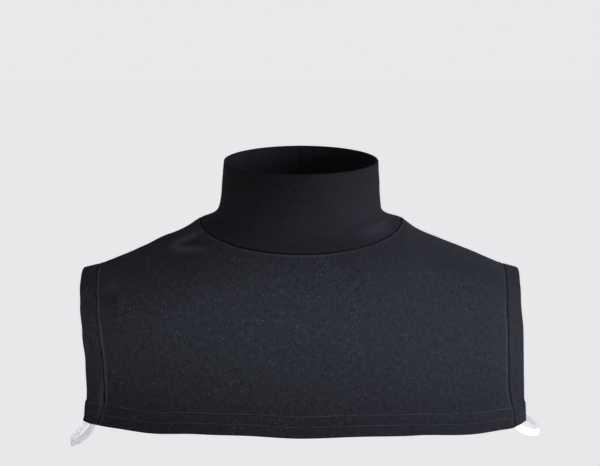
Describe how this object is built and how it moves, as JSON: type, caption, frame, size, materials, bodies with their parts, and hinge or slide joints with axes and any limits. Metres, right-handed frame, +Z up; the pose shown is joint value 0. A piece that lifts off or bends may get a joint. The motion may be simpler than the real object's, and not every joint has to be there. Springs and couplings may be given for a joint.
{
  "type": "turtleneck dickey",
  "caption": "Sleeveless knitted bib with a stand collar, banded arm edges, a stitched hem and clear elastic under-arm straps, held in its worn form.",
  "frame": {"origin": "middle of the neck seat, level with the two side neck points, where a wearer's neck holds the collar", "axes": "+Z up, -Y out of the wearer's chest, +X to the right of someone looking at the front"},
  "size_m": [0.3775, 0.2179, 0.2383],
  "materials": {
    "collar_jersey": "matte",
    "panel_jersey": "matte",
    "band_jersey": "matte",
    "clear_elastic": "satin"
  },
  "bodies": {
    "root": {"collar": "collar_jersey", "front_panel": "panel_jersey", "back_panel": "panel_jersey", "arm_band_left": "band_jersey", "arm_band_right": "band_jersey", "strap_left": "clear_elastic", "strap_right": "clear_elastic"}
  },
  "joints": []
}
